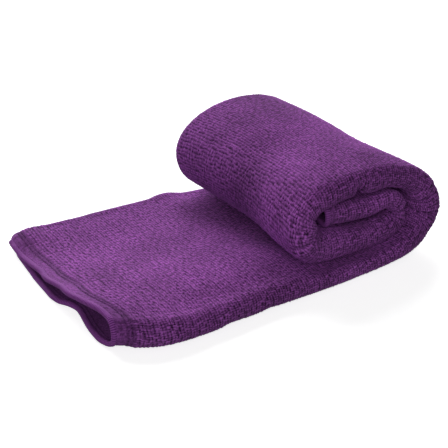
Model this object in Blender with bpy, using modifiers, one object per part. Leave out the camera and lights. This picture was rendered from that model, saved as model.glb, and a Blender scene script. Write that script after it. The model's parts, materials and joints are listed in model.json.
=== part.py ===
"""Quick dry towel: a sheet of microfibre terry, folded once along its length and loosely rolled from one end.

The sheet is drawn flat, at the size it was cut, and each of its points is then carried to its folded and
rolled place. s runs along the towel from the loose tail end, w runs across it from the fold line. The two
plies lie either side of a middle line that runs along the floor, turns up into the roll and winds inwards.
Metres, +Z up, +X from the tail end to the roll, +Y from the fold line to the two long edges.
"""

import math

import bmesh
import bpy
import numpy as np

# Towel as cut and sewn
TOWEL_LENGTH = 0.675
TOWEL_WIDTH = 0.400
CLOTH_THICKNESS = 0.003
OVERLOCK_DIAMETER = 0.003
NEEDLE_THREAD_DIAMETER = 0.0008
NEEDLE_INSET = 0.0055
GAP = 0.0003
NEEDLE_DEPTH = CLOTH_THICKNESS / 2 + GAP + NEEDLE_THREAD_DIAMETER / 2

# Towel as it lies
TAIL_FOLD_SPREAD = 0.150
ROLL_FOLD_SPREAD = 0.090
TAIL_SPREAD_ENDS = 0.130
ROLL_SPREAD_STARTS = 0.230
LIFT_START = 0.215
LIFT_END = 0.262

# Rise of the top of the roll halfway between the fold and the long edges, and the heights it grows between
CROWN_RISE = 0.0045
CROWN_FLOOR = 0.030
CROWN_TOP = 0.066

# Mesh fineness
TURN_PER_ROW = math.radians(19)
SHORTEST_ROW = 0.0042
LONGEST_ROW = 0.018
BLEND_STEPS = 24
PATH_SAMPLES = 1500
ROW_LOOKAHEAD = 12
LEAST_TURN = 1e-6
SLOPE_STEP = 0.0002
TUBE_RESOLUTION = 2
THREAD_RESOLUTION = 1

MM = 0.001

# Colours, roughness and sheen of the cloth and the threads
TERRY_LOOK = ((0.150, 0.045, 0.190), 0.9, 0.5)
OVERLOCK_LOOK = ((0.200, 0.045, 0.260), 0.6, 0.2)
NEEDLE_LOOK = ((0.230, 0.070, 0.290), 0.6, 0.1)

# Middle line at the fold: x, z, y of the fold's outermost line and radius of the fold, in millimetres
FOLD_SIDE = (
    (-4, 12, 0, 10), (18, 11, -15, 9.5), (50, 10, -23, 8.5), (98, 10, -22, 8.5), (145, 9, -22, 8),
    (180, 8, -22, 6.5), (215, 8, -21, 6), (245, 9, -20, 6.5), (266, 12, -17, 8), (282, 19.5, -13, 10),
    (291, 32, -11, 11.5), (287.5, 46.5, -8, 11.2), (270, 61, -6, 9), (242, 69.5, -6, 8), (210, 70.8, -7, 8),
    (180, 68.5, -8, 8), (159, 60, -8, 7), (152.5, 46.5, -10, 6), (160, 33, -10, 7.5), (178, 26.5, -10, 8),
    (205, 25, -10, 7.5), (230, 24.5, -9, 6.5), (248, 25.5, -7, 6), (257, 30, -6, 6), (260, 38, -5, 6),
    (256, 46, -4, 6), (247, 50, -3, 6), (230, 49.5, -3, 7), (205, 47.2, -3, 8.7), (180, 46, -4, 9.2),
    (152, 45.5, -4, 9.2),
)

# Middle line at the long edges: x, z, y and half the distance between the plies, in millimetres
EDGE_SIDE = (
    (0, 8, 178, 4.5), (20, 8, 180, 4.5), (50, 8, 180, 4.5), (98, 8, 179, 4.5), (145, 8, 178, 4.2),
    (180, 7, 175, 3.5), (215, 6, 174, 3), (243, 7, 174, 3), (266, 12, 174, 3), (281, 24, 174, 3),
    (289, 42, 174, 3), (286, 62, 174, 3), (270, 78, 174, 3), (241, 85, 174, 3), (210, 82.5, 174, 3),
    (183, 72, 174, 3), (168.5, 54.5, 174, 3), (171, 36, 174, 3), (188, 23, 174, 4), (208, 19.5, 174, 5),
    (228, 22, 174, 5), (245, 27, 174, 5), (256, 33, 174, 5), (260, 42, 174, 5), (256, 51, 174, 5),
    (244, 56.5, 174, 5), (221, 58.5, 174, 5), (200, 56.5, 174, 4.5), (182, 51, 174, 4.5), (160, 43, 174, 4.5),
)

# Where the columns of the sheet lie, from the fold line outwards, in millimetres
HALF_COLUMNS = (0, 3.3, 6.6, 10, 13.5, 20, 30, 45, 65, 90, 120, 150, 178)


def smooth_step(value, low, high):
    """0 below low, 1 above high and a smooth rise between them."""
    t = np.clip((value - low) / (high - low), 0, 1)
    return t * t * (3 - 2 * t)


def spline_through(points, count):
    """Points along a natural cubic spline whose parameter is the chord length in the first two columns."""
    points = np.asarray(points, float)
    steps = np.linalg.norm(np.diff(points[:, :2], axis=0), axis=1)
    knots = np.concatenate([[0], np.cumsum(steps)])
    last = len(points) - 1
    matrix = np.eye(last + 1)
    bends = np.zeros_like(points)
    for i in range(1, last):
        matrix[i, i - 1] = steps[i - 1]
        matrix[i, i] = 2 * (steps[i - 1] + steps[i])
        matrix[i, i + 1] = steps[i]
        bends[i] = 6 * ((points[i + 1] - points[i]) / steps[i] - (points[i] - points[i - 1]) / steps[i - 1])
    second = np.linalg.solve(matrix, bends)
    at = np.linspace(0, knots[-1], count)
    k = np.clip(np.searchsorted(knots, at) - 1, 0, last - 1)
    step = steps[k][:, None]
    left = (knots[k + 1] - at)[:, None]
    right = (at - knots[k])[:, None]
    curved = (second[k] * left**3 + second[k + 1] * right**3) / (6 * step)
    straight_left = (points[k] / step - second[k] * step / 6) * left
    straight_right = (points[k + 1] / step - second[k + 1] * step / 6) * right
    return curved + straight_left + straight_right


def lengths_along(points):
    """Distance travelled to each point of a polyline."""
    return np.concatenate([[0], np.cumsum(np.linalg.norm(np.diff(points, axis=0), axis=1))])


class RolledTowel:
    """Carries a point of the flat towel to its folded and rolled place."""

    def __init__(self):
        self.fold = spline_through(np.array(FOLD_SIDE) * MM, PATH_SAMPLES)
        self.edge = spline_through(np.array(EDGE_SIDE) * MM, PATH_SAMPLES)
        self.fold_lengths = lengths_along(self.fold[:, :2])
        self.edge_lengths = lengths_along(self.edge[:, :2])

    def middle_lines(self, s):
        """x, z and the unit normal of the middle line at s, for BLEND_STEPS + 1 places from fold to edges."""
        lines = []
        for share in np.linspace(0, 1, BLEND_STEPS + 1):
            line = self.fold[:, :2] * (1 - share) + self.edge[:, :2] * share
            crown = CROWN_RISE * 4 * share * (1 - share)
            line[:, 1] += crown * smooth_step(line[:, 1], CROWN_FLOOR, CROWN_TOP)
            along = lengths_along(line)
            slope_x = np.gradient(line[:, 0], along)
            slope_z = np.gradient(line[:, 1], along)
            steep = np.hypot(slope_x, slope_z)
            columns = (line[:, 0], line[:, 1], -slope_z / steep, slope_x / steep)
            lines.append([np.interp(s, along, column) for column in columns])
        return np.array(lines)

    def place(self, s, w):
        """Points in the middle of the cloth, for stations s (rows) and w (columns)."""
        s = np.atleast_1d(np.asarray(s, float))
        w = np.atleast_1d(np.asarray(w, float))
        radius = np.interp(s, self.fold_lengths, self.fold[:, 3])[:, None]
        fold_y = np.interp(s, self.fold_lengths, self.fold[:, 2])[:, None]
        edge_y = np.interp(s, self.edge_lengths, self.edge[:, 2])[:, None]
        edge_gap = np.interp(s, self.edge_lengths, self.edge[:, 3])[:, None]
        in_tail = 1 - smooth_step(s, TAIL_SPREAD_ENDS, ROLL_SPREAD_STARTS)[:, None]
        spread = ROLL_FOLD_SPREAD + (TAIL_FOLD_SPREAD - ROLL_FOLD_SPREAD) * in_tail

        quarter = math.pi / 2 * radius
        from_fold = np.abs(w)[None, :]
        angle = np.minimum(from_fold / radius, math.pi / 2)
        beyond = np.maximum(from_fold - quarter, 0)
        closing = 0.5 * (1 + np.cos(math.pi * np.clip(beyond / spread, 0, 1)))
        half_gap = edge_gap + (radius - edge_gap) * closing

        on_ply = from_fold > quarter
        offset = np.where(on_ply, half_gap, radius * np.sin(angle)) * np.sign(w)[None, :]
        inwards = np.where(on_ply, radius + beyond, radius - radius * np.cos(angle))
        reach = TOWEL_WIDTH / 2 - quarter + radius
        share = np.clip(inwards / reach, 0, 1)

        lines = self.middle_lines(s)
        at = share * BLEND_STEPS
        low = np.clip(at.astype(int), 0, BLEND_STEPS - 1)
        part = at - low
        row = np.arange(len(s))[:, None]
        x, z, normal_x, normal_z = (
            lines[low, k, row] * (1 - part) + lines[low + 1, k, row] * part for k in range(4)
        )
        on_floor = 1 - smooth_step(s, LIFT_START, LIFT_END)[:, None]
        z = z * (1 - on_floor) + (half_gap + CLOTH_THICKNESS / 2) * on_floor

        places = np.empty(x.shape + (3,))
        places[..., 0] = x + normal_x * offset
        places[..., 1] = fold_y + inwards * (edge_y - fold_y) / reach
        places[..., 2] = z + normal_z * offset
        return places

    def place_inside(self, s, w, depth):
        """Points as far as depth from the middle of the cloth, on the side that is inside the fold."""
        along = self.place(s + SLOPE_STEP, w) - self.place(s - SLOPE_STEP, w)
        across = self.place(s, w + SLOPE_STEP) - self.place(s, w - SLOPE_STEP)
        outwards = np.cross(along, across)
        outwards /= np.linalg.norm(outwards, axis=2, keepdims=True)
        return self.place(s, w) - outwards * depth

    def row_stations(self, start, end):
        """Stations from start to end, closer together where the middle line turns more sharply."""
        lines = self.middle_lines(np.linspace(start, end, PATH_SAMPLES))
        heading = np.unwrap(np.arctan2(lines[:, 2], lines[:, 3]), axis=1)
        turn = np.abs(np.gradient(heading, (end - start) / PATH_SAMPLES, axis=1)).max(axis=0)
        stations = [start]
        while stations[-1] < end:
            k = int((stations[-1] - start) / (end - start) * (PATH_SAMPLES - 1))
            step = TURN_PER_ROW / max(turn[k : k + ROW_LOOKAHEAD].max(), LEAST_TURN)
            stations.append(stations[-1] + min(max(step, SHORTEST_ROW), LONGEST_ROW))
        stations = np.array(stations)
        return start + (stations - start) * (end - start) / (stations[-1] - start)


def principled(name, colour, roughness, sheen):
    """A cloth or thread material."""
    material = bpy.data.materials.new(name)
    material.use_nodes = True
    shader = material.node_tree.nodes["Principled BSDF"]
    shader.inputs["Base Color"].default_value = (*colour, 1)
    shader.inputs["Roughness"].default_value = roughness
    shader.inputs["Metallic"].default_value = 0
    shader.inputs["Sheen Weight"].default_value = sheen
    return material


def add_sheet(name, towel, rows, columns, collection, material):
    """The terry sheet: a flat grid carried to its rolled place and given its thickness."""
    mesh = bpy.data.meshes.new(name)
    grid = bmesh.new()
    bmesh.ops.create_grid(grid, x_segments=len(rows) - 1, y_segments=len(columns) - 1, size=0.5)
    places = towel.place(rows, columns)
    for vertex in grid.verts:
        i = round((vertex.co.x + 0.5) * (len(rows) - 1))
        j = round((vertex.co.y + 0.5) * (len(columns) - 1))
        vertex.co = places[i, j]
    for face in grid.faces:
        face.smooth = True
    grid.to_mesh(mesh)
    grid.free()
    sheet = bpy.data.objects.new(name, mesh)
    thickness = sheet.modifiers.new("thickness", "SOLIDIFY")
    thickness.thickness = CLOTH_THICKNESS
    thickness.offset = 0
    thickness.use_even_offset = True
    thickness.use_quality_normals = True
    mesh.materials.append(material)
    collection.objects.link(sheet)
    return sheet


def add_strand(name, points, diameter, resolution, collection, material):
    """A round strand along a polyline, with closed ends."""
    curve = bpy.data.curves.new(name, "CURVE")
    curve.dimensions = "3D"
    curve.bevel_depth = diameter / 2
    curve.bevel_resolution = resolution
    curve.use_fill_caps = True
    strand = curve.splines.new("POLY")
    strand.points.add(len(points) - 1)
    for point, place in zip(strand.points, points):
        point.co = (*place, 1)
    curve.materials.append(material)
    piece = bpy.data.objects.new(name, curve)
    collection.objects.link(piece)
    return piece


def add_short_edge(name, towel, edge_s, inwards, collection, overlock, needle):
    """The overlock along one short edge and its needle thread, round the fold and on both plies."""
    needle_end = TOWEL_WIDTH / 2 - NEEDLE_INSET
    overlock_end = TOWEL_WIDTH / 2 - OVERLOCK_DIAMETER / 2
    outer = np.concatenate([np.array(HALF_COLUMNS[1:]) * MM, [needle_end, overlock_end]])
    columns = np.concatenate([-outer[::-1], [0], outer])
    centre = edge_s + inwards * OVERLOCK_DIAMETER / 2
    points = towel.place([centre], columns)[0]
    add_strand(f"{name}_overlock", points, OVERLOCK_DIAMETER, TUBE_RESOLUTION, collection, overlock)
    needle_s = np.array([edge_s + inwards * NEEDLE_INSET])
    points = towel.place_inside(needle_s, columns[1:-1], NEEDLE_DEPTH)[0]
    add_strand(f"{name}_needle_thread", points, NEEDLE_THREAD_DIAMETER, THREAD_RESOLUTION, collection, needle)


def add_long_edge(name, towel, side, rows, collection, overlock, needle):
    """The overlock along one long edge, and its needle thread, between those of the short edges."""
    w = side * (TOWEL_WIDTH / 2 - OVERLOCK_DIAMETER / 2)
    points = towel.place(rows, [w])[:, 0]
    add_strand(f"{name}_overlock", points, OVERLOCK_DIAMETER, TUBE_RESOLUTION, collection, overlock)
    needle_w = np.array([side * (TOWEL_WIDTH / 2 - NEEDLE_INSET)])
    points = towel.place_inside(rows[2:-2], needle_w, NEEDLE_DEPTH)[:, 0]
    add_strand(f"{name}_needle_thread", points, NEEDLE_THREAD_DIAMETER, THREAD_RESOLUTION, collection, needle)


def centre_on_origin(pieces):
    """Parents every piece to an empty that puts the middle of the towel's footprint at the origin."""
    graph = bpy.context.evaluated_depsgraph_get()
    corners = []
    for piece in pieces:
        mesh = piece.evaluated_get(graph).to_mesh()
        corners.extend(vertex.co[:] for vertex in mesh.vertices)
        piece.evaluated_get(graph).to_mesh_clear()
    corners = np.array(corners)
    middle = (corners.min(axis=0) + corners.max(axis=0)) / 2
    frame = bpy.data.objects.new("towel_frame", None)
    frame.location = (-middle[0], -middle[1], -corners[:, 2].min())
    pieces[0].users_collection[0].objects.link(frame)
    for piece in pieces:
        piece.parent = frame


def main():
    for thing in list(bpy.data.objects):
        bpy.data.objects.remove(thing, do_unlink=True)
    collection = bpy.data.collections.new("quick_dry_towel")
    bpy.context.scene.collection.children.link(collection)

    terry = principled("microfibre_terry", *TERRY_LOOK)
    overlock = principled("overlock_thread", *OVERLOCK_LOOK)
    needle = principled("needle_thread", *NEEDLE_LOOK)

    towel = RolledTowel()
    inset = OVERLOCK_DIAMETER + GAP
    inner_rows = towel.row_stations(NEEDLE_INSET, TOWEL_LENGTH - NEEDLE_INSET)
    rows = np.concatenate([[inset], inner_rows, [TOWEL_LENGTH - inset]])
    hem_columns = [TOWEL_WIDTH / 2 - NEEDLE_INSET, TOWEL_WIDTH / 2 - inset]
    outer = np.concatenate([np.array(HALF_COLUMNS[1:]) * MM, hem_columns])
    columns = np.concatenate([-outer[::-1], [0], outer])

    add_sheet("terry_sheet", towel, rows, columns, collection, terry)
    add_short_edge("tail_end", towel, 0, 1, collection, overlock, needle)
    add_short_edge("core_end", towel, TOWEL_LENGTH, -1, collection, overlock, needle)
    add_long_edge("upper_long_edge", towel, 1, rows, collection, overlock, needle)
    add_long_edge("lower_long_edge", towel, -1, rows, collection, overlock, needle)

    bpy.context.view_layer.update()
    centre_on_origin(list(collection.objects))


main()
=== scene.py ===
"""Looks of the quick dry towel: one sheet of purple microfibre terry, folded once and loosely rolled.

The flat towel is carried to its folded and rolled place by the same lines as the CAD sheet, with s along the
towel from the loose tail end and w across it from the fold line. A short cloth simulation then lets a coarse
sheet settle on the floor and on itself. The fine sheet, its ribs and loops, its overlocked edges and its
stitches are laid on the settled surface. Metres, +Z up. The design frame has its origin near the near corner
of the tail.
"""

import json
import math

import bpy
import numpy as np
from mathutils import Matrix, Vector

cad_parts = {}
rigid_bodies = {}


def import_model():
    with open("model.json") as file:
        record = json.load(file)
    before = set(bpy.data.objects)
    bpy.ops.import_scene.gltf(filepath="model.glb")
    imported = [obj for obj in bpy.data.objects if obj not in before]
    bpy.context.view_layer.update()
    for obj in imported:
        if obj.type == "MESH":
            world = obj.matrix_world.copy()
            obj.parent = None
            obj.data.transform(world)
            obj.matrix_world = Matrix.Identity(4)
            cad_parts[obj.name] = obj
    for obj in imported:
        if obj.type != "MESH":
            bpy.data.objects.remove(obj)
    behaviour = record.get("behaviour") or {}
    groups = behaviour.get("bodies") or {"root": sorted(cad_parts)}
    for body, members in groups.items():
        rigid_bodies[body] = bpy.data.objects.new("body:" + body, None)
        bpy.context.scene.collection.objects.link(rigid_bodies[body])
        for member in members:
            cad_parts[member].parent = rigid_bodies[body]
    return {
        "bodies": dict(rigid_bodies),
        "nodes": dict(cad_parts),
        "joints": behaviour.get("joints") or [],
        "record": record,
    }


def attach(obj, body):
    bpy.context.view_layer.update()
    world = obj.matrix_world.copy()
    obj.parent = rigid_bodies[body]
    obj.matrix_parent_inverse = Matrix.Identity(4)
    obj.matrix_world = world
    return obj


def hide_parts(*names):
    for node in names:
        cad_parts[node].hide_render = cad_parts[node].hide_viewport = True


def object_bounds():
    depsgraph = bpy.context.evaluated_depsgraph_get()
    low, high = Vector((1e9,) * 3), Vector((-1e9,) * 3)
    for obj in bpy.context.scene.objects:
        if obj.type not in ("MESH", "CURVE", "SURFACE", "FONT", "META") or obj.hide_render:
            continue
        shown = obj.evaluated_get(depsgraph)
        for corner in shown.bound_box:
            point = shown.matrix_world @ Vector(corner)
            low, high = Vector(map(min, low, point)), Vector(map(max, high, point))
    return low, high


MM = 0.001
RANDOM_SEED = 20261117

# Towel as cut and sewn
TOWEL_LENGTH = 0.675
TOWEL_WIDTH = 0.400
CLOTH_THICKNESS = 0.003

# Towel as it lies, as in the CAD source
TAIL_FOLD_SPREAD = 0.150
ROLL_FOLD_SPREAD = 0.090
TAIL_SPREAD_ENDS = 0.130
ROLL_SPREAD_STARTS = 0.230
LIFT_START = 0.215
LIFT_END = 0.262
CROWN_RISE = 0.0045
CROWN_FLOOR = 0.030
CROWN_TOP = 0.066
BLEND_STEPS = 24
PATH_SAMPLES = 1500

# Middle line at the fold: x, z, y of the fold's outermost line and radius of the fold, in millimetres
FOLD_SIDE = (
    (-4, 12, 0, 10), (18, 11, -15, 9.5), (50, 10, -23, 8.5), (98, 10, -22, 8.5), (145, 9, -22, 8),
    (180, 8, -22, 6.5), (215, 8, -21, 6), (245, 9, -20, 6.5), (266, 12, -17, 8), (282, 19.5, -13, 10),
    (291, 32, -11, 11.5), (287.5, 46.5, -8, 11.2), (270, 61, -6, 9), (242, 69.5, -6, 8), (210, 70.8, -7, 8),
    (180, 68.5, -8, 8), (159, 60, -8, 7), (152.5, 46.5, -10, 6), (160, 33, -10, 7.5), (178, 26.5, -10, 8),
    (205, 25, -10, 7.5), (230, 24.5, -9, 6.5), (248, 25.5, -7, 6), (257, 30, -6, 6), (260, 38, -5, 6),
    (256, 46, -4, 6), (247, 50, -3, 6), (230, 49.5, -3, 7), (205, 47.2, -3, 8.7), (180, 46, -4, 9.2),
    (152, 45.5, -4, 9.2),
)

# Middle line at the long edges: x, z, y and half the distance between the plies, in millimetres
EDGE_SIDE = (
    (0, 8, 178, 4.5), (20, 8, 180, 4.5), (50, 8, 180, 4.5), (98, 8, 179, 4.5), (145, 8, 178, 4.2),
    (180, 7, 175, 3.5), (215, 6, 174, 3), (243, 7, 174, 3), (266, 12, 174, 3), (281, 24, 174, 3),
    (289, 42, 174, 3), (286, 62, 174, 3), (270, 78, 174, 3), (241, 85, 174, 3), (210, 82.5, 174, 3),
    (183, 72, 174, 3), (168.5, 54.5, 174, 3), (171, 36, 174, 3), (188, 23, 174, 4), (208, 19.5, 174, 5),
    (228, 22, 174, 5), (245, 27, 174, 5), (256, 33, 174, 5), (260, 42, 174, 5), (256, 51, 174, 5),
    (244, 56.5, 174, 5), (221, 58.5, 174, 5), (200, 56.5, 174, 4.5), (182, 51, 174, 4.5), (160, 43, 174, 4.5),
)

# Local shapes of the lie, in millimetres: station s, station w, their spreads, push along the outer face's
# normal (towards the core on the upper ply of the roll), shift in x, y and z
DENTS = (
    # lip of the outer wrap: notch and droops either side of it
    (436, 8, 22, 15, 0, 0, 0, -1), (402, 8, 4, 13, 0, 0, 2, 6), (385, 8, 9, 13, 0, 0, 0, -2),
    (425, 24, 30, 14, -2.6, 0, 0, 0), (345, 20, 6, 9, -4, 0, 0, 0),
    # left turn, closed in against the core, with a crease
    (466, 16, 17, 16, 7.5, 0, -3, 0), (488, 20, 14, 18, 3.5, 0, -2, 0), (456, 22, 2.8, 16, -4.5, 0, 0, 0),
    (480, 0, 2.6, 16, -2.5, 0, 0, 0),
    # core end, higher and further in, with a gap under the lip, and the wrap under it, fuller
    (636, -17, 34, 11, 0, 0, -1, -4), (634, -3, 22, 12, 0, 0, 0, -2),
    (675, 0, 28, 44, 0, -6.5, 0, 5.5), (640, 14, 30, 16, 0, 0, -3, 0), (512, 24, 28, 16, 4.5, 0, 0, 0),
    # creases of the right turn and of the wrap under the core
    (301, 14, 2.6, 15, -3.8, 0, 0, 0), (317, 14, 2.4, 20, -3.5, 0, 0, 0), (330, 16, 2.4, 18, -3, 0, 0, 0),
    (578, 7, 17, 2.8, -4, 0, 0, 0), (596, 2, 3.0, 18, -3, 0, 0, 0), (566, 14, 8, 8, 2.5, 0, -1, 0),
    # right turn, lower; fold at the tail end, further out; top and left turn at the far end, fuller
    (342, -50, 30, 60, -1.5, 0, 0, 0), (20, 0, 34, 34, 0, 0, -2.2, 0),
    (410, -200, 60, 90, 3.5, 0, 0, 0), (462, -200, 30, 60, 1.5, 0, 0, 0),
    # tail sloping down to its near fold
    (140, 15, 110, 15, 0, 0, 0, -3), (140, 62, 110, 30, 0, 0, 0, 1.5),
    # far edge of the tail, with a low bump, and its rounded corner
    (90, 190, 90, 40, 0, 0, 0, 1), (150, 195, 12, 25, 0, 0, 2, 2), (16, 184, 14, 16, 0, 0, 0, 2.5),
    (-2, 176, 8, 30, 0, 2, 0, -5), (0, 200, 7, 8, 0, 4, -6, -2), (0, -200, 14, 16, 0, 5, 0, 0),
)

# Waves of the tail end, in millimetres: distance from the fold and shift in x, for each ply
UPPER_TAIL_WAVE = (
    (0, 1), (15, 2), (24, 3), (45, -2), (70, -6),
    (80, -4), (110, -7), (122, -4), (160, -5), (200, -4),
)
LOWER_TAIL_WAVE = (
    (0, 1), (11, 1), (21, -2.5), (42, -1), (62, 2.5), (75, 3.5),
    (83, -1.5), (95, -6), (134, -5), (164, -2), (200, 0),
)
WAVE_BLUR = 8
TAIL_WAVE_REACH = 0.028

# The long edges turn in towards the core, and together at the tail, and their cloth is drawn out a little
CURL_REACH = 0.010
CURL_DEPTH = 0.0070
TAIL_CURL_SHARE = 0.60
EDGE_STRETCH = 0.009
STRETCH_STARTS = 0.120
CURL_STARTS = 0.200
CURL_FULL = 0.290

# Settling
SETTLE_ROWS = 96
SETTLE_COLUMNS = 59
SETTLE_FRAMES = 14
SETTLE_LIMIT = 0.0025
HOLD_SHARE = 0.55
FLOOR_CLEARANCE = 0.0001

# Noise: largest value of a lattice point and lattice points past the edges
NOISE_SPAN = 1.7
SPARE_KNOTS = 4

# Terry
EDGE_INSET = 0.0015
RIB_STEPS = 4
RIB_PROFILE = (1, 0.66, 0, 0.66)
RIBS = 280
LOOP_COLUMNS = 540
LOOP_COLUMNS_EACH = 2.3
INNER_SHARE = 2
PILE_HEIGHT = 0.00082
PILE_MEAN = 1.04
PILE_MOST = 1.4
PILE_STARTS = 0.0132
PILE_FULL = 0.0148
VALLEY_DEPTH = 0.62
VALLEY_VARIES = 0.36
LOOP_LOW = 0.22
LOOP_VARIES = 0.30
CLUMP_SHARE = 0.04
GRAIN_SHARE = 0.16
RIB_WANDER = 0.0005
WANDER_GAIN = 1.2
SWELL = 0.0006

# Drift of the loops along a rib, in radians and in loops
DRIFT_PHASE = 1.2
DRIFT_LOOPS = 0.19

# Hem: pressed pile, flattened band and two grooves at the tail end, with painted shade in the grooves
HEM_FLAT = 0.0006
HEM_FLAT_TO = 0.0085
HEM_FADES_AT = 0.0135
NARROWER_HEM = 0.0065
HEM_PILE = 0.33
HEM_LOOPS = 0.22
HEM_GRAIN = 0.08
HEM_GROOVES = (0.0099, 0.0123)
GROOVE_WIDTH = 0.0006
GROOVE_WANDER = 0.0003
GROOVE_DEPTH = 0.7
GROOVE_PAINTED_SHADE = 0.45

# Inner face: relief, and mean and spread of its colour value; the low mean is painted shade inside the folds
# and the spread is random grain
INNER_RELIEF = 0.00025
INNER_PAINTED_SHADE = 0.32
INNER_SHADE_VARIES = 0.45

# Sizes of features along and across the towel
DRIFT_SIZE = (0.0026, 0.009)
PATCH_SIZE = (0.012, 0.012)
CLUMP_SIZE = (0.0030, 0.0040)
LONG_WANDER_SIZE = (0.02, 0.03)
SHORT_WANDER_SIZE = (0.0040, 0.0034)
SWELL_SIZE = (0.045, 0.045)
BROAD_SIZE = (0.030, 0.030)

# Shares of broad, patch and loop variation in the tone
BROAD_TONE = 0.22
PATCH_TONE = 0.13
LOOP_TONE = 0.24

# Sewing
BAND_REACH = 0.0042
BAND_HALF_HEIGHT = 0.0019
BAND_STEP = 0.00035
BAND_SIDES = 20
BAND_ROUNDNESS = 0.8
BAND_OVERHANG = 0.0004
LOOPER_PITCH = 0.0014
LOOPER_SLANT = 0.9
RIDGE_RELIEF = 0.035
THREAD_RELIEF = 0.02
NEEDLE_INSET = 0.0055
STITCH_SPACING = 0.003
STITCH_LENGTH = 0.0024
STITCH_DIAMETER = 0.0008
STITCH_SINK = 0.0002
STITCH_TILT = 0.12
STITCH_SIDES = 6
STITCH_RINGS = 5

# Colours, dark in the valleys as painted shade and light on the crowns as painted highlight
TERRY_DARK, TERRY_LIGHT = (0.012, 0.002, 0.017), (0.37, 0.10, 0.45)
LOOPER_DARK, LOOPER_LIGHT = (0.10, 0.018, 0.13), (0.34, 0.09, 0.42)
NEEDLE_DARK, NEEDLE_LIGHT = (0.10, 0.03, 0.13), (0.26, 0.09, 0.32)
SHEEN_TINT = (0.70, 0.28, 0.85, 1)
STUDIO_WHITE = (0.86, 0.86, 0.86)

# Lights: name, energy, spread in degrees and direction towards the light
SUNS = (
    ("back_softbox", 4.6, 55, (0.30, 0.86, 0.40)),
    ("front_fill", 1.05, 40, (-0.60, -0.64, 0.43)),
)
SURROUND = 0.10
FLOOR_GLOW = 0.72
FLOOR_SIZE = 8

# Camera: angles in degrees, and where it aims on the floor from the middle of the towel
CAMERA_AZIMUTH = -34.5
CAMERA_ELEVATION = 25.3
CAMERA_DISTANCE = 0.79
CAMERA_AIM = (0.0242, 0.0426)
CAMERA_SENSOR = 36
CAMERA_LENS = 72.16


def smooth_step(value, low, high):
    """0 below low, 1 above high and a smooth rise between them."""
    t = np.clip((value - low) / (high - low), 0, 1)
    return t * t * (3 - 2 * t)


def spline_through(points, count):
    """Points along a natural cubic spline whose parameter is the chord length in the first two columns."""
    points = np.asarray(points, float)
    steps = np.linalg.norm(np.diff(points[:, :2], axis=0), axis=1)
    knots = np.concatenate([[0], np.cumsum(steps)])
    last = len(points) - 1
    matrix = np.eye(last + 1)
    bends = np.zeros_like(points)
    for i in range(1, last):
        matrix[i, i - 1] = steps[i - 1]
        matrix[i, i] = 2 * (steps[i - 1] + steps[i])
        matrix[i, i + 1] = steps[i]
        bends[i] = 6 * ((points[i + 1] - points[i]) / steps[i] - (points[i] - points[i - 1]) / steps[i - 1])
    second = np.linalg.solve(matrix, bends)
    at = np.linspace(0, knots[-1], count)
    k = np.clip(np.searchsorted(knots, at) - 1, 0, last - 1)
    step = steps[k][:, None]
    left = (knots[k + 1] - at)[:, None]
    right = (at - knots[k])[:, None]
    curved = (second[k] * left**3 + second[k + 1] * right**3) / (6 * step)
    straight_left = (points[k] / step - second[k] * step / 6) * left
    straight_right = (points[k + 1] / step - second[k + 1] * step / 6) * right
    return curved + straight_left + straight_right


def lengths_along(points):
    """Distance travelled to each point of a polyline."""
    return np.concatenate([[0], np.cumsum(np.linalg.norm(np.diff(points, axis=0), axis=1))])


def spline_weights(at, low, high, count):
    """Matrix of cubic B-spline weights of count even knots from low to high, at the places at."""
    t = np.clip((np.asarray(at, float) - low) / (high - low), 0, 1) * (count - 1)
    whole = np.minimum(t.astype(int), count - 2)
    f = t - whole
    taps = (
        (1 - f) ** 3 / 6,
        (3 * f**3 - 6 * f**2 + 4) / 6,
        (-3 * f**3 + 3 * f**2 + 3 * f + 1) / 6,
        f**3 / 6,
    )
    weights = np.zeros((len(t), count))
    for k, tap in enumerate(taps):
        np.add.at(weights, (np.arange(len(t)), np.clip(whole + k - 1, 0, count - 1)), tap)
    return weights


def cloth_noise(rng, s, w, along, across):
    """Smooth random field on the flat towel, about -1 to 1, with features of the sizes along and across."""
    knots_s = int(TOWEL_LENGTH / along) + SPARE_KNOTS
    knots_w = int(TOWEL_WIDTH / across) + SPARE_KNOTS
    lattice = rng.uniform(-NOISE_SPAN, NOISE_SPAN, (knots_s, knots_w))
    half = TOWEL_WIDTH / 2
    over_s = spline_weights(s, 0, TOWEL_LENGTH, knots_s)
    over_w = spline_weights(w, -half, half, knots_w)
    return over_s @ lattice @ over_w.T


def crisp_noise(rng, rows, columns):
    """Random values with no broad patches: each is drawn less the mean of its neighbours, about -1 to 1."""
    drawn = rng.uniform(-1, 1, (rows + 2, columns + 2))
    around = sum(drawn[i : i + rows, j : j + columns] for i in range(3) for j in range(3)) / 9
    return drawn[1:-1, 1:-1] - around


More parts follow.
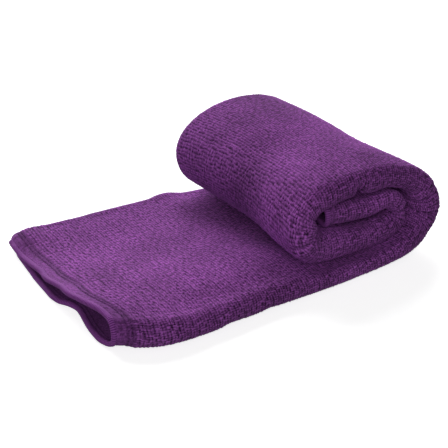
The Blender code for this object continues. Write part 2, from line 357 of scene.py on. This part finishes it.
class RolledTowel:
    """Carries a point of the flat towel to its folded, rolled and settled place."""

    def __init__(self):
        self.fold = spline_through(np.array(FOLD_SIDE) * MM, PATH_SAMPLES)
        self.edge = spline_through(np.array(EDGE_SIDE) * MM, PATH_SAMPLES)
        self.fold_lengths = lengths_along(self.fold[:, :2])
        self.edge_lengths = lengths_along(self.edge[:, :2])
        self.settled = None

    def middle_lines(self, s):
        """x, z and the unit normal of the middle line at s, for BLEND_STEPS + 1 places from fold to edges."""
        lines = []
        for share in np.linspace(0, 1, BLEND_STEPS + 1):
            line = self.fold[:, :2] * (1 - share) + self.edge[:, :2] * share
            crown = CROWN_RISE * 4 * share * (1 - share)
            line[:, 1] += crown * smooth_step(line[:, 1], CROWN_FLOOR, CROWN_TOP)
            along = lengths_along(line)
            slope_x = np.gradient(line[:, 0], along)
            slope_z = np.gradient(line[:, 1], along)
            steep = np.hypot(slope_x, slope_z)
            columns = (line[:, 0], line[:, 1], -slope_z / steep, slope_x / steep)
            lines.append([np.interp(s, along, column) for column in columns])
        return np.array(lines)

    def drawn(self, s, w, curled=0):
        """Places in the middle of the cloth as the CAD draws them, for stations s (rows) and w (columns)."""
        radius = np.interp(s, self.fold_lengths, self.fold[:, 3])[:, None]
        fold_y = np.interp(s, self.fold_lengths, self.fold[:, 2])[:, None]
        edge_y = np.interp(s, self.edge_lengths, self.edge[:, 2])[:, None]
        edge_gap = np.interp(s, self.edge_lengths, self.edge[:, 3])[:, None]
        in_tail = 1 - smooth_step(s, TAIL_SPREAD_ENDS, ROLL_SPREAD_STARTS)[:, None]
        spread = ROLL_FOLD_SPREAD + (TAIL_FOLD_SPREAD - ROLL_FOLD_SPREAD) * in_tail

        quarter = math.pi / 2 * radius
        from_fold = np.abs(w)[None, :]
        angle = np.minimum(from_fold / radius, math.pi / 2)
        beyond = np.maximum(from_fold - quarter, 0)
        closing = 0.5 * (1 + np.cos(math.pi * np.clip(beyond / spread, 0, 1)))
        half_gap = edge_gap + (radius - edge_gap) * closing

        curl = curled * np.clip(1 - (TOWEL_WIDTH / 2 - from_fold) / CURL_REACH, 0, 1) ** 2
        in_roll = smooth_step(s, CURL_STARTS, CURL_FULL)[:, None]
        half_gap = half_gap * (1 - TAIL_CURL_SHARE * curl * (1 - in_roll))

        on_ply = from_fold > quarter
        offset = np.where(on_ply, half_gap, radius * np.sin(angle)) * np.sign(w)[None, :]
        offset = offset + CURL_DEPTH * curl * in_roll
        inwards = np.where(on_ply, radius + beyond, radius - radius * np.cos(angle))
        reach = TOWEL_WIDTH / 2 - quarter + radius
        share = np.clip(inwards / reach, 0, 1)

        lines = self.middle_lines(s)
        at = share * BLEND_STEPS
        low = np.clip(at.astype(int), 0, BLEND_STEPS - 1)
        part = at - low
        row = np.arange(len(s))[:, None]
        x, z, normal_x, normal_z = (
            lines[low, k, row] * (1 - part) + lines[low + 1, k, row] * part for k in range(4)
        )
        on_floor = 1 - smooth_step(s, LIFT_START, LIFT_END)[:, None]
        z = z * (1 - on_floor) + (half_gap + CLOTH_THICKNESS / 2) * on_floor

        places = np.empty(x.shape + (3,))
        places[..., 0] = x + normal_x * offset
        places[..., 1] = fold_y + inwards * (edge_y - fold_y) / reach
        places[..., 2] = z + normal_z * offset
        return places

    def dented(self, s, w):
        """The drawn places with the local shapes of the lie."""
        places = self.drawn(s, w, curled=1)
        outwards = normals_of(places)
        for s_at, w_at, s_wide, w_wide, push, dx, dy, dz in DENTS:
            hump = np.exp(-(((s / MM - s_at) / s_wide) ** 2))[:, None]
            hump = (hump * np.exp(-(((w / MM - w_at) / w_wide) ** 2))[None, :])[..., None]
            places = places + hump * (outwards * push + np.array([dx, dy, dz])) * MM
        blur = range(-WAVE_BLUR, WAVE_BLUR + 1)
        waves = [
            np.mean([np.interp(np.abs(w) / MM + shift, *zip(*table)) for shift in blur], axis=0)
            for table in (UPPER_TAIL_WAVE, LOWER_TAIL_WAVE)
        ]
        places[..., 1] += EDGE_STRETCH * smooth_step(np.abs(w), STRETCH_STARTS, TOWEL_WIDTH / 2)[None, :]
        wave = np.where(w > 0, waves[0], waves[1]) * MM
        places[..., 0] += wave[None, :] * np.exp(-((s / TAIL_WAVE_REACH) ** 2))[:, None]
        return places

    def place(self, s, w):
        """Places in the middle of the cloth with all that the lie adds."""
        s = np.atleast_1d(np.asarray(s, float))
        w = np.atleast_1d(np.asarray(w, float))
        places = self.dented(s, w)
        if self.settled is None:
            return places
        half = TOWEL_WIDTH / 2
        over_s = spline_weights(s, 0, TOWEL_LENGTH, self.settled.shape[0])
        over_w = spline_weights(w, -half, half, self.settled.shape[1])
        return places + np.einsum("ai,ijk,bj->abk", over_s, self.settled, over_w, optimize=True)


def normals_of(places):
    """Unit normals of a grid of places, on the side that is outside the fold."""
    if min(places.shape[:2]) < 2:
        return np.zeros_like(places)
    outwards = np.cross(np.gradient(places, axis=0), np.gradient(places, axis=1))
    return outwards / np.maximum(np.linalg.norm(outwards, axis=2, keepdims=True), 1e-12)


def grid_quads(rows, columns):
    """Corner numbers of the quads of a grid whose points are numbered row by row."""
    first = (np.arange(rows - 1)[:, None] * columns + np.arange(columns - 1)[None, :]).ravel()
    return np.stack([first, first + columns, first + columns + 1, first + 1], axis=1)


def mesh_object(name, points, quads, triangles=()):
    """A smooth shaded mesh from arrays of points, quads and triangles."""
    triangles = np.asarray(triangles, int).reshape(-1, 3)
    mesh = bpy.data.meshes.new(name)
    mesh.vertices.add(len(points))
    mesh.vertices.foreach_set("co", np.asarray(points, np.float32).ravel())
    corners = np.concatenate([quads.ravel(), triangles.ravel()])
    mesh.loops.add(len(corners))
    mesh.loops.foreach_set("vertex_index", corners.astype(np.int32))
    sizes = np.concatenate([np.full(len(quads), 4), np.full(len(triangles), 3)])
    mesh.polygons.add(len(sizes))
    mesh.polygons.foreach_set("loop_start", (np.cumsum(sizes) - sizes).astype(np.int32))
    mesh.update(calc_edges=True)
    mesh.validate()
    mesh.shade_smooth()
    thing = bpy.data.objects.new(name, mesh)
    bpy.context.scene.collection.objects.link(thing)
    return thing


def settle(towel):
    """Lets a coarse sheet settle on the floor and on itself, and keeps how far its points went, limited."""
    s = np.linspace(0, TOWEL_LENGTH, SETTLE_ROWS)
    w = np.linspace(-TOWEL_WIDTH / 2, TOWEL_WIDTH / 2, SETTLE_COLUMNS)
    start = towel.dented(s, w)
    sheet = mesh_object("settling_sheet", start.reshape(-1, 3), grid_quads(len(s), len(w)))
    hold = sheet.vertex_groups.new(name="hold")
    hold.add(range(len(sheet.data.vertices)), HOLD_SHARE, "REPLACE")
    bpy.ops.mesh.primitive_plane_add(size=2, location=(0, 0, 0))
    floor = bpy.context.object
    floor.modifiers.new("floor", "COLLISION")
    floor.collision.thickness_outer = 0.001

    cloth = sheet.modifiers.new("cloth", "CLOTH")
    cloth.settings.quality = 8
    cloth.settings.mass = 0.02
    cloth.settings.air_damping = 4
    cloth.settings.tension_stiffness = 8
    cloth.settings.compression_stiffness = 8
    cloth.settings.shear_stiffness = 3
    cloth.settings.bending_stiffness = 0.3
    cloth.settings.vertex_group_mass = "hold"
    cloth.settings.pin_stiffness = 1.0
    cloth.settings.shrink_min = -0.015
    cloth.collision_settings.collision_quality = 3
    cloth.collision_settings.distance_min = 0.0015
    cloth.collision_settings.use_self_collision = True
    cloth.collision_settings.self_distance_min = 0.003
    cloth.point_cache.frame_start = 1
    cloth.point_cache.frame_end = SETTLE_FRAMES
    scene = bpy.context.scene
    for frame_number in range(1, SETTLE_FRAMES + 1):
        scene.frame_set(frame_number)
    graph = bpy.context.evaluated_depsgraph_get()
    mesh = sheet.evaluated_get(graph).to_mesh()
    ended = np.empty(len(mesh.vertices) * 3)
    mesh.vertices.foreach_get("co", ended)
    sheet.evaluated_get(graph).to_mesh_clear()
    moved = ended.reshape(start.shape) - start
    far = np.linalg.norm(moved, axis=2, keepdims=True)
    towel.settled = moved / (1 + far / SETTLE_LIMIT)
    for thing in (sheet, floor):
        data = thing.data
        bpy.data.objects.remove(thing, do_unlink=True)
        bpy.data.meshes.remove(data)
    scene.frame_set(1)


def border(rows, columns):
    """Grid positions once round the border, in the same turn as the faces of the grid."""
    i, j = np.arange(rows), np.arange(columns)
    return np.concatenate([
        np.stack([i[:-1], np.zeros(rows - 1, int)], 1),
        np.stack([np.full(columns - 1, rows - 1), j[:-1]], 1),
        np.stack([i[:0:-1], np.full(rows - 1, columns - 1)], 1),
        np.stack([np.zeros(columns - 1, int), j[:0:-1]], 1),
    ])


def add_terry(towel, shift, rng):
    """The terry sheet: a fine outer face with ribs of loops, a plainer inner face, and a rim between them."""
    rows, columns = RIBS * RIB_STEPS + 1, LOOP_COLUMNS + 1
    s = np.linspace(EDGE_INSET, TOWEL_LENGTH - EDGE_INSET, rows)
    w = np.linspace(EDGE_INSET - TOWEL_WIDTH / 2, TOWEL_WIDTH / 2 - EDGE_INSET, columns)
    places = towel.place(s, w)
    outwards = normals_of(places)
    along = np.gradient(places, s, axis=0)

    from_edge_s = np.minimum(s, TOWEL_LENGTH - s + NARROWER_HEM)[:, None]
    from_edge_w = (TOWEL_WIDTH / 2 - np.abs(w) + NARROWER_HEM)[None, :]
    from_edge = np.minimum(from_edge_s, from_edge_w)
    in_pile = smooth_step(from_edge, PILE_STARTS, PILE_FULL)

    rib_step = np.arange(rows) + RIB_STEPS // 2
    rib = np.array(RIB_PROFILE)[rib_step % RIB_STEPS][:, None]
    rib_number = rib_step // RIB_STEPS
    loop_starts = rng.uniform(0, 1, RIBS + 2)[rib_number][:, None]
    loop_number = np.arange(columns)[None, :] / LOOP_COLUMNS_EACH + loop_starts
    drift = cloth_noise(rng, s, w, *DRIFT_SIZE)
    loops = 0.5 - 0.5 * np.cos(2 * math.pi * loop_number + DRIFT_PHASE * drift)
    this_loop = rib_number[:, None], (loop_number + DRIFT_LOOPS * drift).astype(int)
    loop_size = crisp_noise(rng, RIBS + 2, columns)[this_loop]
    valley_depth = VALLEY_DEPTH + VALLEY_VARIES * crisp_noise(rng, RIBS + 2, columns)[this_loop]
    grain = crisp_noise(rng, rows, columns)
    patches = cloth_noise(rng, s, w, *PATCH_SIZE)
    clumps = cloth_noise(rng, s, w, *CLUMP_SIZE)
    pile = (1 - (1 - rib) * valley_depth) * (LOOP_LOW + (1 - LOOP_LOW) * loops)
    pile = pile * (PILE_MEAN + LOOP_VARIES * loop_size)
    pile = np.clip(pile + CLUMP_SHARE * clumps + GRAIN_SHARE * grain, 0, PILE_MOST)

    grooves = np.zeros((rows, columns))
    for groove_s in HEM_GROOVES:
        groove = np.exp(-(((s[:, None] - groove_s - GROOVE_WANDER * patches) / GROOVE_WIDTH) ** 2))
        grooves = np.maximum(grooves, groove * (0.75 + 0.25 * clumps))
    pressed = HEM_PILE + HEM_LOOPS * pile + HEM_GRAIN * grain
    height = PILE_HEIGHT * (pile * in_pile + pressed * (1 - in_pile) - GROOVE_DEPTH * grooves)
    half = CLOTH_THICKNESS / 2 - 0.5 * PILE_HEIGHT
    flat = HEM_FLAT * (1 - smooth_step(from_edge, HEM_FLAT_TO, HEM_FADES_AT))
    wander = WANDER_GAIN * cloth_noise(rng, s, w, *LONG_WANDER_SIZE)
    wander = RIB_WANDER * (wander + WANDER_GAIN * cloth_noise(rng, s, w, *SHORT_WANDER_SIZE))
    swell = SWELL * cloth_noise(rng, s, w, *SWELL_SIZE)

    centre = places + along * (wander * in_pile)[..., None] + outwards * (swell * in_pile)[..., None]
    outer = centre + outwards * (half - flat + height)[..., None]
    coarse = np.s_[::INNER_SHARE, ::INNER_SHARE]
    inner_height = (half - 0.5 * flat)[coarse]
    inner_grain = rng.uniform(-1, 1, inner_height.shape)
    inner_height = inner_height + INNER_RELIEF * inner_grain * in_pile[coarse]
    inner = centre[coarse] - outwards[coarse] * inner_height[..., None]
    outer[..., 2] = np.maximum(outer[..., 2], FLOOR_CLEARANCE)

    inner_rows, inner_columns = inner.shape[:2]
    points = np.concatenate([outer.reshape(-1, 3), inner.reshape(-1, 3)]) + shift
    offset = rows * columns
    inner_quads = grid_quads(inner_rows, inner_columns)[:, ::-1] + offset
    quads = np.concatenate([grid_quads(rows, columns), inner_quads])
    ring = border(rows, columns)
    ring = ring[:, 0] * columns + ring[:, 1]
    inner_ring = border(inner_rows, inner_columns)
    inner_ring = inner_ring[:, 0] * inner_columns + inner_ring[:, 1] + offset
    start, mid, end = (np.roll(ring, -k)[::INNER_SHARE] for k in range(INNER_SHARE + 1))
    inner_start, inner_end = inner_ring, np.roll(inner_ring, -1)
    triangles = np.concatenate([
        np.stack([mid, start, inner_start], 1),
        np.stack([mid, inner_start, inner_end], 1),
        np.stack([end, mid, inner_end], 1),
    ])
    sheet = mesh_object("terry_cloth", points, quads, triangles)

    # Colour value from the pile height: painted shade in the valleys between loops and ribs and painted
    # highlight on the crowns; the pressed hem takes a lower value and so a darker colour; painted shade in
    # the hem grooves and, as a low value, on the inner face inside the folds, with random grain.
    painted_shade_value = np.concatenate([
        (pile * in_pile + pressed * (1 - in_pile) - GROOVE_PAINTED_SHADE * grooves).ravel(),
        (INNER_PAINTED_SHADE + INNER_SHADE_VARIES * inner_grain * in_pile[coarse]).ravel(),
    ])
    broad = cloth_noise(rng, s, w, *BROAD_SIZE)
    tone = BROAD_TONE * broad + PATCH_TONE * patches + LOOP_TONE * loop_size
    tone = np.concatenate([tone.ravel(), tone[coarse].ravel()])
    for name, values in (("pile", painted_shade_value), ("tone", tone)):
        attribute = sheet.data.attributes.new(name, "FLOAT", "POINT")
        attribute.data.foreach_set("value", values.astype(np.float32))
    return sheet


def edge_frame(towel, fixed, moving, short_edge):
    """Centre, direction to the edge, outward normal and direction of sewing along a line near an edge."""
    small = 0.0006
    if short_edge:
        near = towel.place([fixed - small, fixed + small], moving)
        centre = near.mean(axis=0)
        towards = near[0] - near[1] if fixed < TOWEL_LENGTH / 2 else near[1] - near[0]
    else:
        near = towel.place(moving, [fixed - small, fixed + small])
        centre = near.mean(axis=1)
        towards = near[:, 1] - near[:, 0] if fixed > 0 else near[:, 0] - near[:, 1]
    run = np.gradient(centre, axis=0)
    run /= np.linalg.norm(run, axis=1, keepdims=True)
    towards -= run * np.sum(towards * run, axis=1, keepdims=True)
    towards /= np.linalg.norm(towards, axis=1, keepdims=True)
    outwards = np.cross(run, towards)
    outwards *= 1 if (fixed < TOWEL_LENGTH / 2 if short_edge else fixed > 0) else -1
    return centre, towards, outwards, run


def add_overlock(name, towel, fixed, moving, short_edge, shift, rng):
    """The looper threads wrapped over one edge, as a band with slanted ridges, closed at both ends."""
    centre, towards, outwards, _ = edge_frame(towel, fixed, moving, short_edge)
    turn = np.arange(BAND_SIDES) / BAND_SIDES * 2 * math.pi
    across = np.sign(np.cos(turn)) * np.abs(np.cos(turn)) ** BAND_ROUNDNESS
    up = np.sign(np.sin(turn)) * np.abs(np.sin(turn)) ** BAND_ROUNDNESS
    along = lengths_along(centre)[:, None]
    slant = LOOPER_SLANT * np.cos(turn)[None, :]
    ridge = np.cos(2 * math.pi * along / LOOPER_PITCH + slant * np.sign(np.sin(turn))[None, :])
    rough = rng.uniform(-1, 1, (len(centre), BAND_SIDES))
    size = 1 + RIDGE_RELIEF * ridge + THREAD_RELIEF * rough
    rings = (
        centre[:, None]
        + towards[:, None] * (across[None, :] * size * BAND_REACH / 2)[..., None]
        + outwards[:, None] * (up[None, :] * size * BAND_HALF_HEIGHT)[..., None]
    )
    rings[..., 2] = np.maximum(rings[..., 2], FLOOR_CLEARANCE)
    count = len(centre)
    ring_start = np.arange(count - 1)[:, None] * BAND_SIDES
    side = np.arange(BAND_SIDES)[None, :]
    first = (ring_start + side).ravel()
    following = (ring_start + (side + 1) % BAND_SIDES).ravel()
    quads = np.stack([first, following, following + BAND_SIDES, first + BAND_SIDES], 1)
    caps = []
    points = [rings.reshape(-1, 3)]
    for end, ring_at in ((0, 0), (1, (count - 1) * BAND_SIDES)):
        points.append(rings[-end].mean(axis=0)[None])
        tip = count * BAND_SIDES + end
        for k in range(BAND_SIDES):
            pair = (ring_at + k, ring_at + (k + 1) % BAND_SIDES)
            caps.append((tip, *(pair if end else pair[::-1])))
    band = mesh_object(name, np.concatenate(points) + shift, quads, caps)
    # Colour value of the looper threads: painted shade between the ridges, painted highlight on them, and
    # random variation of the threads.
    painted_shade_value = np.concatenate([(0.5 + 0.5 * ridge + 0.15 * rough).ravel(), [0.5, 0.5]])
    attribute = band.data.attributes.new("pile", "FLOAT", "POINT")
    attribute.data.foreach_set("value", painted_shade_value.astype(np.float32))
    return band


def add_stitches(name, towel, fixed, moving, short_edge, shift, rng):
    """The needle thread where it shows inside the fold: one short rounded stitch after another."""
    centre, towards, outwards, run = edge_frame(towel, fixed, moving, short_edge)
    along = lengths_along(centre)
    at = np.arange(STITCH_SPACING, along[-1] - STITCH_SPACING, STITCH_SPACING)
    parts = (centre, towards, outwards, run)
    pick = [np.stack([np.interp(at, along, part[:, k]) for k in range(3)], 1) for part in parts]
    sides, rings = STITCH_SIDES, STITCH_RINGS
    turn = np.arange(sides) / sides * 2 * math.pi
    points, quads = [], []
    for number in range(len(at)):
        middle, side, up, ahead = (part[number] for part in pick)
        middle = middle - up * (CLOTH_THICKNESS / 2 - STITCH_SINK)
        ahead = ahead + side * STITCH_TILT * rng.uniform(-1, 1)
        base = len(points) * rings * sides
        block = []
        for ring in range(rings):
            t = -1 + 2 * ring / (rings - 1)
            radius = STITCH_DIAMETER / 2 * max(0.35, math.sqrt(1 - 0.9 * t * t))
            for angle in turn:
                spoke = side * math.cos(angle) + up * math.sin(angle)
                block.append(middle + ahead * (t * STITCH_LENGTH / 2) + spoke * radius)
        points.append(block)
        for ring in range(rings - 1):
            for k in range(sides):
                a = base + ring * sides + k
                b = base + ring * sides + (k + 1) % sides
                quads.append((a, b, b + sides, a + sides))
    points = np.array(points).reshape(-1, 3)
    return mesh_object(name, points + shift, np.array(quads))


def link(tree, out, into):
    tree.links.new(out, into)


def node(tree, kind, **values):
    made = tree.nodes.new(kind)
    for name, value in values.items():
        setattr(made, name, value)
    return made


def cloth_material(name, dark, light, tone_share, roughness, sheen, grain_scale, bump):
    """A fibre material: colour from pile height, as painted shade in the low places and painted highlight on
    the high ones, and from tone, with fine grain in colour, roughness and bump.
    """
    material = bpy.data.materials.new(name)
    material.use_nodes = True
    tree = material.node_tree
    shader = tree.nodes["Principled BSDF"]
    shader.inputs["Sheen Weight"].default_value = sheen
    shader.inputs["Sheen Roughness"].default_value = 0.45
    shader.inputs["Sheen Tint"].default_value = SHEEN_TINT
    shader.inputs["Specular IOR Level"].default_value = 0.04
    place = node(tree, "ShaderNodeTexCoord")

    pile = node(tree, "ShaderNodeAttribute", attribute_name="pile")
    fibres = node(tree, "ShaderNodeTexNoise")
    fibres.inputs["Scale"].default_value = grain_scale
    fibres.inputs["Detail"].default_value = 2
    link(tree, place.outputs["Object"], fibres.inputs["Vector"])
    mixed = node(tree, "ShaderNodeMath", operation="MULTIPLY_ADD")
    link(tree, fibres.outputs["Fac"], mixed.inputs[0])
    mixed.inputs[1].default_value = 0.6
    link(tree, pile.outputs["Fac"], mixed.inputs[2])
    # Painted shade and highlight: a low pile value gives the dark colour, a high one the light colour.
    ramp = node(tree, "ShaderNodeMapRange")
    link(tree, mixed.outputs[0], ramp.inputs["Value"])
    ramp.inputs["From Min"].default_value = 0.35
    ramp.inputs["From Max"].default_value = 1.15
    colour = node(tree, "ShaderNodeMix", data_type="RGBA")
    link(tree, ramp.outputs[0], colour.inputs["Factor"])
    colour.inputs[6].default_value = (*dark, 1)
    colour.inputs[7].default_value = (*light, 1)

    tone = node(tree, "ShaderNodeAttribute", attribute_name="tone")
    strength = node(tree, "ShaderNodeMath", operation="MULTIPLY_ADD")
    link(tree, tone.outputs["Fac"], strength.inputs[0])
    strength.inputs[1].default_value = tone_share
    strength.inputs[2].default_value = 1.0
    toned = node(tree, "ShaderNodeVectorMath", operation="SCALE")
    link(tree, colour.outputs[2], toned.inputs[0])
    link(tree, strength.outputs[0], toned.inputs["Scale"])
    link(tree, toned.outputs[0], shader.inputs["Base Color"])

    rough = node(tree, "ShaderNodeMapRange")
    link(tree, fibres.outputs["Fac"], rough.inputs["Value"])
    rough.inputs["To Min"].default_value = roughness - 0.1
    rough.inputs["To Max"].default_value = roughness + 0.08
    link(tree, rough.outputs[0], shader.inputs["Roughness"])
    relief = node(tree, "ShaderNodeBump")
    relief.inputs["Strength"].default_value = bump
    relief.inputs["Distance"].default_value = 0.0004
    link(tree, fibres.outputs["Fac"], relief.inputs["Height"])
    link(tree, relief.outputs["Normal"], shader.inputs["Normal"])
    return material


def plain_material(name, colour, roughness, glow):
    """A smooth material of one colour that gives off some light of its own."""
    material = bpy.data.materials.new(name)
    material.use_nodes = True
    shader = material.node_tree.nodes["Principled BSDF"]
    shader.inputs["Base Color"].default_value = (*colour, 1)
    shader.inputs["Roughness"].default_value = roughness
    shader.inputs["Specular IOR Level"].default_value = 0.0
    shader.inputs["Emission Color"].default_value = (1, 1, 1, 1)
    shader.inputs["Emission Strength"].default_value = glow
    return material


def add_studio(centre):
    """White floor with some glow, a low light from behind, a weak frontal one and a faint surround."""
    bpy.ops.mesh.primitive_plane_add(size=FLOOR_SIZE, location=(centre[0], centre[1], 0))
    floor = bpy.context.object
    floor.name = "studio_floor"
    floor.data.materials.append(plain_material("studio_white", STUDIO_WHITE, 0.9, FLOOR_GLOW))
    floor.visible_diffuse = False
    world = bpy.data.worlds.new("studio")
    bpy.context.scene.world = world
    world.use_nodes = True
    world.node_tree.nodes["Background"].inputs["Color"].default_value = (1, 1, 1, 1)
    world.node_tree.nodes["Background"].inputs["Strength"].default_value = SURROUND
    for name, energy, spread, towards in SUNS:
        lamp = bpy.data.lights.new(name, "SUN")
        lamp.energy = energy
        lamp.angle = math.radians(spread)
        light = bpy.data.objects.new(name, lamp)
        light.rotation_euler = Vector(towards).to_track_quat("Z", "Y").to_euler()
        bpy.context.scene.collection.objects.link(light)
    bpy.context.scene.view_settings.view_transform = "Standard"


def add_camera(centre):
    """Camera at the photo's angle: low over the near fold, from the side of the loose tail end."""
    azimuth, elevation = math.radians(CAMERA_AZIMUTH), math.radians(CAMERA_ELEVATION)
    aim = Vector((centre[0] + CAMERA_AIM[0], centre[1] + CAMERA_AIM[1], 0))
    level = math.cos(elevation)
    back = Vector((math.sin(azimuth) * level, -math.cos(azimuth) * level, math.sin(elevation)))
    camera = bpy.data.objects.new("camera", bpy.data.cameras.new("camera"))
    camera.data.sensor_width = CAMERA_SENSOR
    camera.data.lens = CAMERA_LENS
    camera.location = aim + back * CAMERA_DISTANCE
    camera.rotation_euler = (-back).to_track_quat("-Z", "Y").to_euler()
    bpy.context.scene.collection.objects.link(camera)
    bpy.context.scene.camera = camera


def main():
    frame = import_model()
    cad_low, cad_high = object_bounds()
    centre = (cad_low + cad_high) / 2
    rng = np.random.default_rng(RANDOM_SEED)

    towel = RolledTowel()
    half = TOWEL_WIDTH / 2
    drawn = towel.drawn(np.linspace(0, TOWEL_LENGTH, 400), np.linspace(-half, half, 200))
    middle = (drawn.min(axis=(0, 1)) + drawn.max(axis=(0, 1))) / 2
    shift = np.array([centre[0] - middle[0], centre[1] - middle[1], 0])
    settle(towel)

    terry = cloth_material(
        "microfibre_terry", TERRY_DARK, TERRY_LIGHT,
        tone_share=1.0, roughness=0.88, sheen=0.20, grain_scale=900, bump=0.5,
    )
    looper = cloth_material(
        "looper_thread", LOOPER_DARK, LOOPER_LIGHT,
        tone_share=0, roughness=0.7, sheen=0.15, grain_scale=1500, bump=0.4,
    )
    needle = cloth_material(
        "needle_thread", NEEDLE_DARK, NEEDLE_LIGHT,
        tone_share=0, roughness=0.6, sheen=0.1, grain_scale=1500, bump=0.2,
    )

    sheet = add_terry(towel, shift, rng)
    sheet.data.materials.append(terry)
    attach(sheet, "root")
    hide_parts("terry_sheet")

    band_at = BAND_REACH / 2 - BAND_OVERHANG
    band_w = np.arange(-half + 0.0005, half - 0.0005, BAND_STEP)
    band_s = np.arange(BAND_REACH, TOWEL_LENGTH - BAND_REACH, BAND_STEP)
    seams = (
        ("tail_end", band_at, NEEDLE_INSET, band_w, True),
        ("core_end", TOWEL_LENGTH - band_at, TOWEL_LENGTH - NEEDLE_INSET, band_w, True),
        ("upper_long_edge", half - band_at, half - NEEDLE_INSET, band_s, False),
        ("lower_long_edge", -half + band_at, -half + NEEDLE_INSET, band_s, False),
    )
    for name, band_line, needle_line, run, short_edge in seams:
        band = add_overlock(name + "_looper_threads", towel, band_line, run, short_edge, shift, rng)
        band.data.materials.append(looper)
        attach(band, "root")
        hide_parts(name + "_overlock")
        stitches = add_stitches(name + "_stitches", towel, needle_line, run, short_edge, shift, rng)
        stitches.data.materials.append(needle)
        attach(stitches, "root")
        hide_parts(name + "_needle_thread")

    add_studio(centre)
    add_camera(centre)

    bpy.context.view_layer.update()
    return frame


main()
